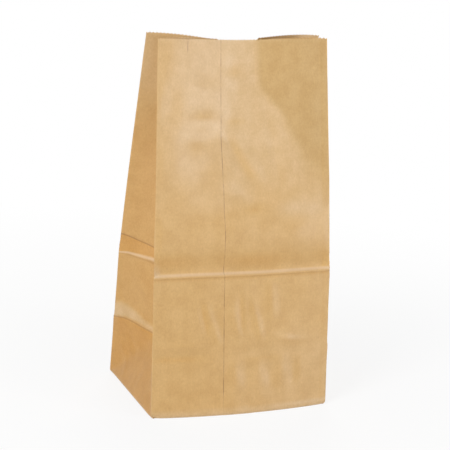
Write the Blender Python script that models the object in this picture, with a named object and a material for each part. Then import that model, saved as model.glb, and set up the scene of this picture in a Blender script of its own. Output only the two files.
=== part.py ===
"""A flat-bottomed paper lunch bag, opened and standing, made from one folded and glued sheet.

The bag is one sheet of kraft paper: a front panel, two gussets that fold inwards, a far panel
with a thumb notch, and a base of folded flaps.  Every point of the sheet is found from its place
on the flat paper: "around" is the distance round the bag from the front left fold, and "up" is
the distance from the base fold.  Units are metres, +Z is up, the front faces -Y, and the origin
is the middle of the base.
"""
import bpy
import bmesh
import numpy as np

# Sizes of the paper.
PANEL_WIDTH = 0.160
PANEL_DEPTH = 0.114
PAPER_HEIGHT = 0.316
SHEET = 0.00012

# Creases left by folding the bag flat.
ALL_ROUND_CREASE = 0.121
CREASE_REACH = 0.009
FRONT_CREASE_DEPTH = 0.0012
GUSSET_CREASE_DEPTH = 0.0010

# How the opened bag stands: the space between the gusset folds, the lean of the corners.
CREASE_GAP = 0.0930
MOUTH_GAP = 0.0290
CREASE_INSET_LEFT = -0.0005
CREASE_INSET_RIGHT = 0.0016
MOUTH_INSET_LEFT = 0.0030
MOUTH_INSET_RIGHT = 0.0068
WAIST_UP = 0.200
WAIST_SWELL = 0.0009

# Bow of the two wide panels: outwards at the base, pinched inwards at the mouth.
FRONT_BELLY = 0.0060
FAR_BELLY = 0.0040
APEX_BELLY_SHARE = 0.5
FRONT_PINCH = 0.0115
FAR_PINCH = 0.0110
PINCH_START = 0.150
PINCH_FULL = 0.250

# Glued seam down the front panel, with the upper ply on the right of the line.
SEAM_FROM_LEFT_FOLD = 0.0630
SEAM_LAP = 0.025
SEAM_EDGE = 0.00015
SEAM_SETTLE = 0.002

# Mouth: toothed cut, thumb notch in the far panel, small tear in the front panel.
TOOTH_PITCH = 0.0025
TOOTH_DEPTH = 0.0010
NOTCH_WIDTH = 0.038
NOTCH_DEPTH = 0.011
TEAR_FROM_LEFT_FOLD = 0.026
TEAR_LENGTH = 0.009
TEAR_WIDTH = 0.0004

# Base: two folded flaps lie over the inner ply, and each flap is two sheets thick.
FLAP_OVERLAP = 0.012
FLAP_PLIES = 2

# Mesh density.
WIDE_COLUMNS = 16
GUSSET_HALF_COLUMNS = 4
TOP_BAND = 0.016
INTEGRATION_STEPS = 96
PROBE = 0.00002

KRAFT_COLOUR = (0.63, 0.41, 0.19, 1.0)
KRAFT_ROUGHNESS = 0.85

HALF_WIDTH = PANEL_WIDTH / 2
HALF_DEPTH = PANEL_DEPTH / 2
APEX_UP = HALF_DEPTH
GIRTH = 2 * (PANEL_WIDTH + PANEL_DEPTH)
RIGHT_FRONT_FOLD = PANEL_WIDTH
RIGHT_FAR_FOLD = PANEL_WIDTH + PANEL_DEPTH
LEFT_FAR_FOLD = 2 * PANEL_WIDTH + PANEL_DEPTH
RIGHT_TIP = RIGHT_FRONT_FOLD + HALF_DEPTH
LEFT_TIP = LEFT_FAR_FOLD + HALF_DEPTH
FLAP_STEP = FLAP_PLIES * SHEET
OUTER_FLAP_Z = 0.0
UNDER_FLAP_Z = FLAP_STEP
SIDE_PLY_Z = 2 * FLAP_STEP
FLOOR_Z = SIDE_PLY_Z + SHEET


def smooth(value, start, full):
    """Ease from 0 at start to 1 at full, flat at both ends."""
    t = np.clip((value - start) / (full - start), 0.0, 1.0)
    return t * t * (3.0 - 2.0 * t)


def crease(up, centre, reach):
    """A V-shaped ridge, 1 on the crease line and 0 at its reach."""
    return np.clip(1.0 - np.abs(up - centre) / reach, 0.0, 1.0)


def corner(up, side, face):
    """Plan place of one of the four upright folds; side and face are -1 or +1."""
    crease_inset = CREASE_INSET_LEFT if side < 0 else CREASE_INSET_RIGHT
    mouth_inset = MOUTH_INSET_LEFT if side < 0 else MOUTH_INSET_RIGHT
    places = [0.0, ALL_ROUND_CREASE, PAPER_HEIGHT]
    inset = np.interp(up, places, [0.0, crease_inset, mouth_inset])
    gap = np.interp(up, places, [PANEL_DEPTH, CREASE_GAP, MOUTH_GAP])
    swell = smooth(up, ALL_ROUND_CREASE, WAIST_UP) * (1.0 - smooth(up, WAIST_UP, PAPER_HEIGHT))
    x = side * (HALF_WIDTH - inset)
    y = face * (gap / 2 + WAIST_SWELL * swell)
    return x, y


def wide_panel(share, up, face):
    """Front (-1) or far (+1) panel at a share of its width, counted from the left fold."""
    x0, y0 = corner(up, -1, face)
    x1, y1 = corner(up, 1, face)
    belly = FRONT_BELLY if face < 0 else FAR_BELLY
    pinch = FRONT_PINCH if face < 0 else FAR_PINCH
    levels = [0.0, APEX_UP, ALL_ROUND_CREASE]
    outwards = belly * np.interp(up, levels, [1.0, APEX_BELLY_SHARE, 0.0])
    bow = outwards * 4.0 * share * (1.0 - share)
    bow = bow - pinch * smooth(up, PINCH_START, PINCH_FULL) * np.sin(np.pi * share) ** 2
    dent = FRONT_CREASE_DEPTH * crease(up, ALL_ROUND_CREASE, CREASE_REACH)
    bow = bow + face * dent * np.minimum(1.0, 8.0 * share * (1.0 - share))
    return x0 + (x1 - x0) * share, y0 + (y1 - y0) * share + face * bow


def gusset(share, up, side):
    """Left (-1) or right (+1) gusset at a share of its depth, counted from the front fold.

    Above the apex it is a V whose halves keep half the panel depth.  Below it, the paper is the
    flat triangle that rises from the base edge, and two small wings outside its diagonals.
    """
    x0, y0 = corner(up, side, -1)
    x1, y1 = corner(up, side, 1)
    gap = y1 - y0
    half = gap / 2
    fold_in = np.sqrt(np.maximum(HALF_DEPTH ** 2 - half ** 2, 0.0))
    apex_half = (corner(APEX_UP, side, 1)[1] - corner(APEX_UP, side, -1)[1]) / 2
    apex_in = np.sqrt(HALF_DEPTH ** 2 - apex_half ** 2)
    towards_tip = 1.0 - np.abs(2.0 * share - 1.0)
    low = apex_in * np.minimum(up / APEX_UP, towards_tip)
    high = fold_in * towards_tip
    inwards = np.where(up < APEX_UP, low, high)
    ripple = GUSSET_CREASE_DEPTH * crease(up, ALL_ROUND_CREASE, CREASE_REACH)
    inwards = inwards + ripple * towards_tip
    return x0 + (x1 - x0) * share - side * inwards, y0 + gap * share


def plan(around, up):
    """Plan place (x, y) of every paper point; the two arrays have one shape."""
    around = np.mod(around, GIRTH)
    front = wide_panel(around / PANEL_WIDTH, up, -1)
    right = gusset((around - RIGHT_FRONT_FOLD) / PANEL_DEPTH, up, 1)
    far = wide_panel((LEFT_FAR_FOLD - around) / PANEL_WIDTH, up, 1)
    left = gusset((GIRTH - around) / PANEL_DEPTH, up, -1)
    where = [around < RIGHT_FRONT_FOLD, around < RIGHT_FAR_FOLD, around < LEFT_FAR_FOLD]
    x = np.select(where, [front[0], right[0], far[0]], left[0])
    y = np.select(where, [front[1], right[1], far[1]], left[1])
    return x, y


def paper(around, up):
    """Middle of the sheet in space: it keeps its length, so a leaning strip rises less."""
    around = np.asarray(around, dtype=float)
    up = np.asarray(up, dtype=float)
    levels = np.linspace(0.0, 1.0, INTEGRATION_STEPS + 1)[:, None] * up[None, :]
    strips = np.broadcast_to(around[None, :], levels.shape)
    x, y = plan(strips, levels)
    sideways = np.diff(x, axis=0) ** 2 + np.diff(y, axis=0) ** 2
    rise = np.sqrt(np.maximum(np.diff(levels, axis=0) ** 2 - sideways, 0.0))
    height = FLOOR_Z + rise.sum(axis=0)
    return np.stack([x[-1], y[-1], height], axis=1)


def side_normal(around, up, step):
    """Outward normal of the paper, read on one side of a place."""
    here = paper(around, up)
    across = (paper(around + step, up) - here) / np.sign(step)
    low = np.maximum(up - PROBE, 0.0)
    along = paper(around, low + 2 * PROBE) - paper(around, low)
    normal = np.cross(across, along)
    return normal / np.linalg.norm(normal, axis=1)[:, None]


def offset(around, up):
    """Miter vector: one sheet thickness along it lies on both faces that meet at a place."""
    before = side_normal(around, up, -PROBE)
    after = side_normal(around, up, PROBE)
    agree = (before * after).sum(axis=1)
    return (before + after) / np.maximum(1.0 + agree, 0.03)[:, None]


def seam_lift(around):
    """Extra ply on the outside of the front panel, sharp at the seam line, soft beyond it."""
    start = SEAM_FROM_LEFT_FOLD
    end = start + SEAM_LAP
    return np.interp(around, [start - SEAM_EDGE, start, end, end + SEAM_SETTLE], [0, 1, 1, 0])


def both_faces(around, up):
    """Outer and inner faces of the sheet at each paper point."""
    middle = paper(around, up)
    miter = offset(around, up)
    out = SHEET * (0.5 + seam_lift(around))
    return middle + miter * out[:, None], middle - miter * SHEET / 2


def columns():
    """Distances round the bag of the mesh columns, with the seam's own columns kept clear."""
    seam_end = SEAM_FROM_LEFT_FOLD + SEAM_LAP
    seam = [SEAM_FROM_LEFT_FOLD - SEAM_EDGE, SEAM_FROM_LEFT_FOLD, seam_end, seam_end + SEAM_SETTLE]
    spacing = PANEL_WIDTH / WIDE_COLUMNS
    front = [spacing * i for i in range(WIDE_COLUMNS)]
    front = [u for u in front if min(abs(u - s) for s in seam) > spacing / 4] + seam
    half_step = HALF_DEPTH / GUSSET_HALF_COLUMNS
    gusset_steps = [half_step * i for i in range(2 * GUSSET_HALF_COLUMNS)]
    right = [RIGHT_FRONT_FOLD + g for g in gusset_steps]
    far = [RIGHT_FAR_FOLD + spacing * i for i in range(WIDE_COLUMNS)]
    left = [LEFT_FAR_FOLD + g for g in gusset_steps]
    return sorted(front) + right + far + left


def rows():
    """Distances up the paper of the mesh rows, from the base fold to the top band."""
    base = [APEX_UP * i / GUSSET_HALF_COLUMNS for i in range(GUSSET_HALF_COLUMNS + 1)]
    top = PAPER_HEIGHT - TOP_BAND
    creased = [ALL_ROUND_CREASE - CREASE_REACH, ALL_ROUND_CREASE, ALL_ROUND_CREASE + CREASE_REACH]
    below = [(APEX_UP + creased[0]) / 2]
    above = list(np.linspace(PINCH_START, top, 6))
    return base + below + creased + above


def mouth_cut(around):
    """How far the cut lies below full height for the notch and the tear."""
    from_middle = np.abs(around - (RIGHT_FAR_FOLD + HALF_WIDTH)) / (NOTCH_WIDTH / 2)
    notch = NOTCH_DEPTH * np.sqrt(np.maximum(1.0 - from_middle ** 4, 0.0))
    from_tear = np.abs(around - TEAR_FROM_LEFT_FOLD) / (TEAR_WIDTH / 2)
    tear = TEAR_LENGTH * np.maximum(1.0 - from_tear, 0.0)
    return notch, tear


def mouth_points(column_list):
    """Fine points of the toothed edge, as a list for each interval between two columns."""
    tear = [TEAR_FROM_LEFT_FOLD + k * TEAR_WIDTH / 2 for k in (-1, 0, 1)]
    bands = []
    for start, end in zip(column_list, column_list[1:] + [GIRTH]):
        teeth = max(1, round((end - start) / TOOTH_PITCH))
        points = []
        for i in range(2 * teeth):
            u = start + (end - start) * i / (2 * teeth)
            notch = float(mouth_cut(np.array([u]))[0][0])
            drop = notch if notch > 0.0 else TOOTH_DEPTH * (i % 2)
            points.append((u, PAPER_HEIGHT - drop))
        if start < tear[1] < end:
            kept = [p for p in points if abs(p[0] - tear[1]) > TEAR_WIDTH]
            cuts = [(u, PAPER_HEIGHT - float(mouth_cut(np.array([u]))[1][0])) for u in tear]
            points = sorted(kept + cuts)
        bands.append(points)
    return bands


def base_height(around):
    """Height of the outer base fold: each side of the base lies on its own plies."""
    if around <= RIGHT_FRONT_FOLD:
        return OUTER_FLAP_Z
    if around < RIGHT_FAR_FOLD:
        return SIDE_PLY_Z
    if around <= LEFT_FAR_FOLD:
        return UNDER_FLAP_Z
    return SIDE_PLY_Z


def add_loop(bm, points):
    return [bm.verts.new(tuple(p)) for p in points]


def add_face(bm, corners, flip=False):
    bm.faces.new(list(reversed(corners)) if flip else corners)


def add_walls(bm, column_list, outer, inner):
    """Two triangles for each cell of the wall, split along the gusset's diagonal folds."""
    count = len(column_list)
    for loops, flip in ((outer, False), (inner, True)):
        for lower, upper in zip(loops, loops[1:]):
            for i in range(count):
                j = (i + 1) % count
                a, b, c, d = lower[i], lower[j], upper[j], upper[i]
                centre = column_list[i]
                falling = RIGHT_TIP <= centre < RIGHT_FAR_FOLD or centre >= LEFT_TIP
                pair = ((a, b, d), (b, c, d)) if falling else ((a, b, c), (a, c, d))
                for corners in pair:
                    add_face(bm, list(corners), flip)


def add_top_band(bm, bands, top_loop, edge_loop, flip):
    """Fans between the last full row and the fine points of the mouth."""
    count = len(top_loop)
    first = 0
    for i, band in enumerate(bands):
        left = top_loop[i]
        right = top_loop[(i + 1) % count]
        fine = [edge_loop[(first + k) % len(edge_loop)] for k in range(len(band) + 1)]
        middle = len(band) // 2
        for k in range(len(band)):
            anchor = left if k < middle else right
            add_face(bm, [anchor, fine[k + 1], fine[k]], flip)
        add_face(bm, [left, right, fine[middle]], flip)
        first += len(band)


def add_base(bm, column_list, outer_loop, inner_loop):
    """Flat floor inside, and the folded flaps outside, stepped by their plies."""
    add_face(bm, list(inner_loop))
    at = {}
    for name, fold in (("fl", 0.0), ("fr", RIGHT_FRONT_FOLD), ("br", RIGHT_FAR_FOLD), ("bl", LEFT_FAR_FOLD)):
        at[name] = min(range(len(column_list)), key=lambda i: abs(column_list[i] - fold))
    cross_x = HALF_WIDTH - HALF_DEPTH
    edge_x = cross_x - FLAP_OVERLAP
    low = {}
    mid = {}
    high = {}
    for side in (-1, 1):
        low[side] = bm.verts.new((side * cross_x, 0.0, OUTER_FLAP_Z))
        mid[side] = bm.verts.new((side * cross_x, 0.0, UNDER_FLAP_Z))
        high[side] = bm.verts.new((side * cross_x, 0.0, SIDE_PLY_Z))
    edge_low = {s: bm.verts.new((s * edge_x, FLAP_OVERLAP, OUTER_FLAP_Z)) for s in (-1, 1)}
    edge_mid = {s: bm.verts.new((s * edge_x, FLAP_OVERLAP, UNDER_FLAP_Z)) for s in (-1, 1)}
    front = outer_loop[at["fl"]:at["fr"] + 1]
    right = outer_loop[at["fr"]:at["br"] + 1]
    far = outer_loop[at["br"]:at["bl"] + 1]
    left = outer_loop[at["bl"]:] + [outer_loop[0]]
    add_face(bm, front + [low[1], edge_low[1], edge_low[-1], low[-1]], True)
    add_face(bm, right + [high[1]], True)
    add_face(bm, far + [mid[-1], edge_mid[-1], edge_mid[1], mid[1]], True)
    add_face(bm, left + [high[-1]], True)
    add_face(bm, [outer_loop[at["fl"]], low[-1], mid[-1], high[-1]])
    add_face(bm, [outer_loop[at["fr"]], low[1], mid[1], high[1]], True)
    add_face(bm, [outer_loop[at["bl"]], mid[-1], high[-1]], True)
    add_face(bm, [outer_loop[at["br"]], mid[1], high[1]])
    add_face(bm, [low[-1], edge_low[-1], edge_mid[-1], mid[-1]])
    add_face(bm, [edge_low[-1], edge_low[1], edge_mid[1], edge_mid[-1]])
    add_face(bm, [edge_low[1], low[1], mid[1], edge_mid[1]])


def build_bag():
    """The whole bag as one closed solid."""
    column_list = columns()
    around = np.array(column_list)
    bm = bmesh.new()
    outer = []
    inner = []
    for up in rows():
        outside, inside = both_faces(around, np.full(len(around), up))
        if up == 0.0:
            outside[:, 2] = [base_height(u) for u in column_list]
            inside[:, 2] = FLOOR_Z
        outer.append(add_loop(bm, outside))
        inner.append(add_loop(bm, inside))
    bands = mouth_points(column_list)
    fine = np.array([p for band in bands for p in band])
    outside, inside = both_faces(fine[:, 0], fine[:, 1])
    outer_edge = add_loop(bm, outside)
    inner_edge = add_loop(bm, inside)
    add_walls(bm, column_list, outer, inner)
    add_top_band(bm, bands, outer[-1], outer_edge, False)
    add_top_band(bm, bands, inner[-1], inner_edge, True)
    for i in range(len(outer_edge)):
        j = (i + 1) % len(outer_edge)
        add_face(bm, [outer_edge[i], outer_edge[j], inner_edge[j], inner_edge[i]])
    add_base(bm, column_list, outer[0], inner[0])
    bmesh.ops.triangulate(bm, faces=bm.faces[:], quad_method="BEAUTY", ngon_method="BEAUTY")
    bmesh.ops.recalc_face_normals(bm, faces=bm.faces[:])
    mesh = bpy.data.meshes.new("paper_bag")
    bm.to_mesh(mesh)
    bm.free()
    return mesh


def kraft():
    material = bpy.data.materials.new("kraft_paper")
    material.use_nodes = True
    shader = material.node_tree.nodes["Principled BSDF"]
    shader.inputs["Base Color"].default_value = KRAFT_COLOUR
    shader.inputs["Roughness"].default_value = KRAFT_ROUGHNESS
    shader.inputs["Metallic"].default_value = 0.0
    return material


def main():
    for old in list(bpy.data.objects):
        bpy.data.objects.remove(old, do_unlink=True)
    bag = bpy.data.objects.new("paper_bag", build_bag())
    bag.data.materials.append(kraft())
    bpy.context.scene.collection.objects.link(bag)


main()
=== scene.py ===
"""Looks of the brown paper lunch bag: one creased kraft sheet, folded, glued and toothed.

Every point of the sheet is named by its place on the flat paper: "around" is the distance round
the bag from the front left fold, "up" the distance from the base fold.  Both are in metres.
Relief and the marks of scuffed paper and of painted light and shade are worked out in millimetres,
where b is the distance from the base fold and a the distance round the bag, or across one panel
where a docstring says so.
"""
from collections import namedtuple
import bpy
import numpy as np
from mathutils import Matrix, Vector


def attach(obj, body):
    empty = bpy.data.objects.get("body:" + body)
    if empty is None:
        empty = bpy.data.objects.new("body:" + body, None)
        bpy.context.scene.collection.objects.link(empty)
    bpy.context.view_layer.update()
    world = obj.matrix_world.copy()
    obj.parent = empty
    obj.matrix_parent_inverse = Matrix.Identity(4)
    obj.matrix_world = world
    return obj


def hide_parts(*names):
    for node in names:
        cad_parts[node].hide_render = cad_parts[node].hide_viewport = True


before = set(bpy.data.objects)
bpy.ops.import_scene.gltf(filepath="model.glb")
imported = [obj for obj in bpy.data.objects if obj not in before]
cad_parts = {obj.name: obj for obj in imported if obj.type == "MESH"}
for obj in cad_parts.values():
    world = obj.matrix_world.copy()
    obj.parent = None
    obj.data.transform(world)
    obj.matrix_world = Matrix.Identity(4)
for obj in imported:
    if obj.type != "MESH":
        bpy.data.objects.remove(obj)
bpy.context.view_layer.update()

# Sizes of the paper, as in the part's source.
PANEL_WIDTH = 0.160
PANEL_DEPTH = 0.114
PAPER_HEIGHT = 0.316
SHEET = 0.00012
ALL_ROUND_CREASE = 0.121

# How the opened bag stands: the space between the gusset folds, the lean of the corners.
CREASE_GAP = 0.0930
MOUTH_GAP = 0.0290
CREASE_INSET_LEFT = -0.0005
CREASE_INSET_RIGHT = 0.0016
MOUTH_INSET_LEFT = 0.0030
MOUTH_INSET_RIGHT = 0.0068
WAIST_UP = 0.200
WAIST_SWELL = 0.0009

# Bow of the two wide panels: outwards at the base, pinched inwards at the mouth.
FRONT_BELLY = 0.0060
FAR_BELLY = 0.0040
APEX_BELLY_SHARE = 0.5
FRONT_PINCH = 0.0115
FAR_PINCH = 0.0102
PINCH_START = 0.150
PINCH_FULL = 0.250

# Slack of the soft sheet near the mouth, which the solid doesn't have.
SWING_START = 0.200
FAR_SKEW = 0.0028
FAR_RIGHT_SWING = 0.0071
FAR_RIGHT_OUT = 0.0025
RIGHT_TIP_ASIDE = 0.0050

# Glued seam down the front panel, with the upper ply on the right of the line.
SEAM_FROM_LEFT_FOLD = 0.0630
SEAM_LAP = 0.025
SEAM_STEP = (-0.00012, 0.00003)
SEAM_SETTLE = 0.003

# Mouth: toothed cut, thumb notch in the far panel, small tear in the front panel.
WIDE_TEETH = 54
GUSSET_TEETH = 38
TOOTH_DEPTH = 0.0010
NOTCH_WIDTH = 0.038
NOTCH_DEPTH = 0.011
TEAR_FROM_LEFT_FOLD = 0.0289
TEAR_LENGTH = 0.009
TEAR_WIDTH = 0.0004

# Base: two folded flaps lie over the inner ply, and each flap is two sheets thick.
FLAP_OVERLAP = 0.012
FLAP_PLIES = 2
PLY_EASE = 0.004

# How sharp the folds are.
FOLD_ROUND = 0.0004
FOLD_KEEP = 0.35
BASE_ROUND = 0.0026
BASE_ARC_SHARE = 0.98
TRIANGLE_FOLD_ROUND = 0.03
LEAST_MITER = 0.12
SHARP_DEGREES = 34

# Fineness of the mesh.
TOP_BAND = 0.020
LEAST_COLUMN = 0.0003
RISE_LEVELS = 475
JUST_UNDER = 1e-6

# Where the base lies in the map of the paper.
BASE_IN_MAP = (0.30, 0.45)

MM = 1000
HALF_WIDTH = PANEL_WIDTH / 2
HALF_DEPTH = PANEL_DEPTH / 2
APEX_UP = HALF_DEPTH
GIRTH = 2 * (PANEL_WIDTH + PANEL_DEPTH)
RIGHT_FRONT_FOLD = PANEL_WIDTH
RIGHT_TIP = RIGHT_FRONT_FOLD + HALF_DEPTH
RIGHT_FAR_FOLD = PANEL_WIDTH + PANEL_DEPTH
LEFT_FAR_FOLD = 2 * PANEL_WIDTH + PANEL_DEPTH
LEFT_TIP = LEFT_FAR_FOLD + HALF_DEPTH
FOLDS = np.array([0.0, RIGHT_FRONT_FOLD, RIGHT_TIP, RIGHT_FAR_FOLD, LEFT_FAR_FOLD, LEFT_TIP])
FLAP_STEP = FLAP_PLIES * SHEET
FLOOR_Z = 2 * FLAP_STEP + SHEET


# The folded sheet

def smooth(value, start, full):
    """Cubic ease from 0 at start to 1 at full."""
    t = np.clip((value - start) / (full - start), 0.0, 1.0)
    return t * t * (3.0 - 2.0 * t)


def bump(value, centre, reach):
    """Bell curve, 1 at the centre: e to the minus square of distance over reach."""
    return np.exp(-((value - centre) / reach) ** 2)


def corner(up, side, face):
    """Plan place of an upright fold: straight leans between base, crease and mouth."""
    crease_inset = CREASE_INSET_LEFT if side < 0 else CREASE_INSET_RIGHT
    mouth_inset = MOUTH_INSET_LEFT if side < 0 else MOUTH_INSET_RIGHT
    places = [0.0, ALL_ROUND_CREASE, PAPER_HEIGHT]
    inset = np.interp(up, places, [0.0, crease_inset, mouth_inset])
    gap = np.interp(up, places, [PANEL_DEPTH, CREASE_GAP, MOUTH_GAP])
    swell = smooth(up, ALL_ROUND_CREASE, WAIST_UP) * (1.0 - smooth(up, WAIST_UP, PAPER_HEIGHT))
    x = side * (HALF_WIDTH - inset)
    y = face * (gap / 2 + WAIST_SWELL * swell)
    if (side, face) == (1, 1):
        swung = smooth(up, SWING_START, PAPER_HEIGHT)
        return x + FAR_RIGHT_OUT * swung, y - FAR_RIGHT_SWING * swung
    return x, y


def wide_panel(share, up, face):
    """Front (-1) or far (+1) panel: a straight span, a parabola out at the base, a sine pinch.

    The mouth of the far panel is also skewed by one full sine wave, nearer the front on the left.
    """
    x0, y0 = corner(up, -1, face)
    x1, y1 = corner(up, 1, face)
    belly = FRONT_BELLY if face < 0 else FAR_BELLY
    pinch = FRONT_PINCH if face < 0 else FAR_PINCH
    belly_share = np.interp(up, [0.0, APEX_UP, ALL_ROUND_CREASE], [1.0, APEX_BELLY_SHARE, 0.0])
    bow = belly * belly_share * 4.0 * share * (1.0 - share)
    bow = bow - pinch * smooth(up, PINCH_START, PINCH_FULL) * np.sin(np.pi * share) ** 2
    if face > 0:
        bow = bow - FAR_SKEW * smooth(up, SWING_START, PAPER_HEIGHT) * np.sin(2.0 * np.pi * share)
    return x0 + (x1 - x0) * share, y0 + (y1 - y0) * share + face * bow


def gusset(share, up, side):
    """Gusset: a V of constant half width above the apex, a leaning triangle and wings below it.

    Triangle and wings meet in the smaller of two slopes, rounded by a square root.  Near the mouth
    the tip of the right V lies aside, between the two wide panels.
    """
    x0, y0 = corner(up, side, -1)
    x1, y1 = corner(up, side, 1)
    gap = y1 - y0
    fold_in = np.sqrt(np.maximum(HALF_DEPTH ** 2 - (gap / 2) ** 2, 0.0))
    apex_half = (corner(APEX_UP, side, 1)[1] - corner(APEX_UP, side, -1)[1]) / 2
    apex_in = np.sqrt(HALF_DEPTH ** 2 - apex_half ** 2)
    towards_tip = 1.0 - np.abs(2.0 * share - 1.0)
    climbed = np.minimum(up / APEX_UP, 1.0)
    rounding = TRIANGLE_FOLD_ROUND * climbed * towards_tip * (1.0 - climbed)
    apart = np.sqrt((climbed - towards_tip) ** 2 + rounding)
    low = apex_in * 0.5 * (climbed + towards_tip - apart)
    inwards = np.where(up < APEX_UP, low, fold_in * towards_tip)
    aside = RIGHT_TIP_ASIDE * smooth(up, SWING_START, PAPER_HEIGHT) if side > 0 else 0.0
    return x0 + (x1 - x0) * share - side * inwards, y0 + gap * share + aside * towards_tip


def by_panel(around, front, right, far, left):
    """Each point's value from the panel that its place round the bag falls on."""
    where = [around < RIGHT_FRONT_FOLD, around < RIGHT_FAR_FOLD, around < LEFT_FAR_FOLD]
    return np.select(where, [front, right, far], left)


def plan(around, up):
    """Plan place (x, y) of paper points, panel by panel."""
    around = np.mod(around, GIRTH)
    front = wide_panel(around / PANEL_WIDTH, up, -1)
    right = gusset((around - RIGHT_FRONT_FOLD) / PANEL_DEPTH, up, 1)
    far = wide_panel((LEFT_FAR_FOLD - around) / PANEL_WIDTH, up, 1)
    left = gusset((GIRTH - around) / PANEL_DEPTH, up, -1)
    x = by_panel(around, front[0], right[0], far[0], left[0])
    y = by_panel(around, front[1], right[1], far[1], left[1])
    return x, y


def stand(around, up):
    """Middle of the smooth sheet: each strip keeps its length, so where it leans it rises less.

    around is one row of columns; up is rows by columns.  The rise is summed on fine levels and
    read off at each point.
    """
    levels = np.linspace(0.0, PAPER_HEIGHT, RISE_LEVELS)
    x, y = plan(np.broadcast_to(around, (levels.size, around.size)), levels[:, None])
    step = levels[1] - levels[0]
    lean = np.diff(x, axis=0) ** 2 + np.diff(y, axis=0) ** 2
    rise = np.sqrt(np.maximum(step ** 2 - lean, 0.0))
    height = np.vstack([np.zeros(around.size), np.cumsum(rise, axis=0)]) + FLOOR_Z
    place = np.clip(up / step, 0, levels.size - 1 - JUST_UNDER)
    below = place.astype(int)
    part = place - below
    z_below = np.take_along_axis(height, below, 0)
    z_above = np.take_along_axis(height, below + 1, 0)
    x, y = plan(np.broadcast_to(around, up.shape), up)
    return np.stack([x, y, z_below * (1 - part) + z_above * part], axis=-1)


# Creases, dents and wrinkles, in millimetres

Level = namedtuple("Level", "up reach height")
Streak = namedtuple("Streak", "start end reach height")
Patch = namedtuple("Patch", "centre reach height")

# Shares of a streak's length over which it comes and goes.
STREAK_STARTS = (-0.15, 0.25)
STREAK_ENDS = (0.75, 1.15)

# The all-round crease on the front: its height, its slow wander and its drop at the right.
CREASE_UP = 120.9
CREASE_WANDER = 0.25
CREASE_WAVE = 21.0
CREASE_DROP = 0.3
CREASE_DROPS = (120.0, 160.0)
LEDGE_LIP = Level(-1.9, 1.1, 0.45)
LEDGE_STEP = (-1.6, 2.2)
LEDGE_BACK = 2.6
LEDGE_RISE = 19.0

# The slanting valley of the upper front: places up and across, depth and reach to each side.
VALLEY_UP = [150.0, 175.0, 192.0, 210.0, 231.0, 252.0, 265.0, 278.0, 316.0]
VALLEY_ACROSS = [172.0, 158.0, 148.0, 138.0, 129.0, 119.0, 108.0, 97.5, 96.0]
VALLEY_DEPTH = 2.4
VALLEY_DEEPENS = (165.0, 230.0)
VALLEY_REACH_LEFT = 16.0
VALLEY_REACH_RIGHT = 48.0
VALLEY_ROUNDING = 2.0

# Level rolls, lines and ribs of the front, and the spans across over which they come and go.
BROAD_ROLL = Level(153.0, 14.0, 1.6)
BROAD_GROWS = (60.0, 130.0)
BROAD_ENDS = (122.0, 160.0)
APEX_ROLL = Level(60.5, 3.0, 0.60)
APEX_SINKS = (34.0, 54.0)
APEX_SWELLS = Level(116.0, 14.0, 0.5)
APEX_ENDS = (135.0, 150.0)
GROOVE = Level(51.5, 2.4, 0.40)
GROOVE_ENDS = (36.0, 50.0)
HAIRLINE = Level(48.0, 1.1, 0.22)
HAIRLINE_FALL = 0.03
HAIRLINE_ENDS = (118.0, 130.0)
RIBS = Level(33.0, 11.0, 0.75)
FIRST_RIB = 72.5
RIB_PITCH = 22.0
RIBS_START = (60.0, 74.0)
RIBS_END = (126.0, 140.0)

# Wrinkles of the front panel.
FRONT_STREAKS = [
    Streak((75, 240), (101, 200), 4.6, 0.5),
    Streak((65, 238), (91, 198), 4.5, -1.2),
    Streak((104, 262), (117, 190), 4.0, -0.6),
    Streak((46, 94), (58, 63), 2.8, 0.75),
    Streak((41, 97), (49, 70), 2.4, -0.6),
    Streak((69, 93), (77, 64), 3.4, 0.4),
    Streak((77, 104), (80, 72), 3.2, -0.45),
    Streak((88, 92), (97, 64), 3.4, 0.75),
    Streak((105, 112), (108, 80), 4.5, 0.6),
    Streak((84, 100), (90, 68), 3.4, -0.4),
    Streak((18, 101), (33, 87), 0.9, 0.25),
    Streak((104, 66), (126, 62), 2.4, 0.5),
]
# Round swells of the front panel, hollow where the height is negative.
FRONT_SWELLS = [
    Patch((46, 248), (17, 6), 0.85),
    Patch((42, 233), (15, 7), -0.8),
    Patch((75, 292), (8, 6), -0.7),
    Patch((73, 252), (8, 6), -0.5),
    Patch((47, 275), (12, 7), 0.5),
    Patch((122, 181), (15, 9), 1.2),
    Patch((14, 262), (9, 16), -0.8),
    Patch((20, 214), (13, 16), 0.5),
    Patch((112, 222), (9, 16), -0.5),
    Patch((86, 188), (13, 8), -1.4),
    Patch((60, 172), (20, 9), -0.6),
    Patch((30, 186), (16, 9), 0.7),
    Patch((86, 8), (6, 6), -0.8),
    Patch((114, 46.5), (0.9, 0.9), -0.25),
    Patch((43.4, 52.8), (0.9, 0.9), -0.20),
]

# Lines across each half of a gusset: places from its side fold, and their heights.
GUSSET_VALLEY_UP = 132.0
GUSSET_VALLEY_FALL = 0.09
RIDGE_FROM_FOLD = [0.0, 10.0, 18.0, 35.0, 57.0]
RIDGE_UP = [114.2, 116.8, 117.4, 118.7, 119.0]
RIM_FROM_FOLD = [0.0, 14.0, 24.0, 38.0, 57.0]
RIM_UP = [54.0, 57.6, 58.1, 57.3, 57.0]
WEDGE_FROM_FOLD = [0.0, 6.0, 38.0, 57.0]
WEDGE_TALL = [15.0, 15.0, 5.0, 4.0]
GUSSET_RIDGE_HEIGHT = 0.9
RIDGE_GROWS = (5.0, 35.0)
GUSSET_VALLEY_DEPTH = 1.3
OVER_VALLEY_DEPTH = 0.5
RIM_HEIGHT = 1.2
WEDGE_DEPTH = 2.2
SECOND_HALF_SHARE = 0.35
GUSSET_STREAKS = [Streak((12, 30), (30, 8), 2.2, 0.5), Streak((20, 44), (36, 26), 2.2, -0.5)]
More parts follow.
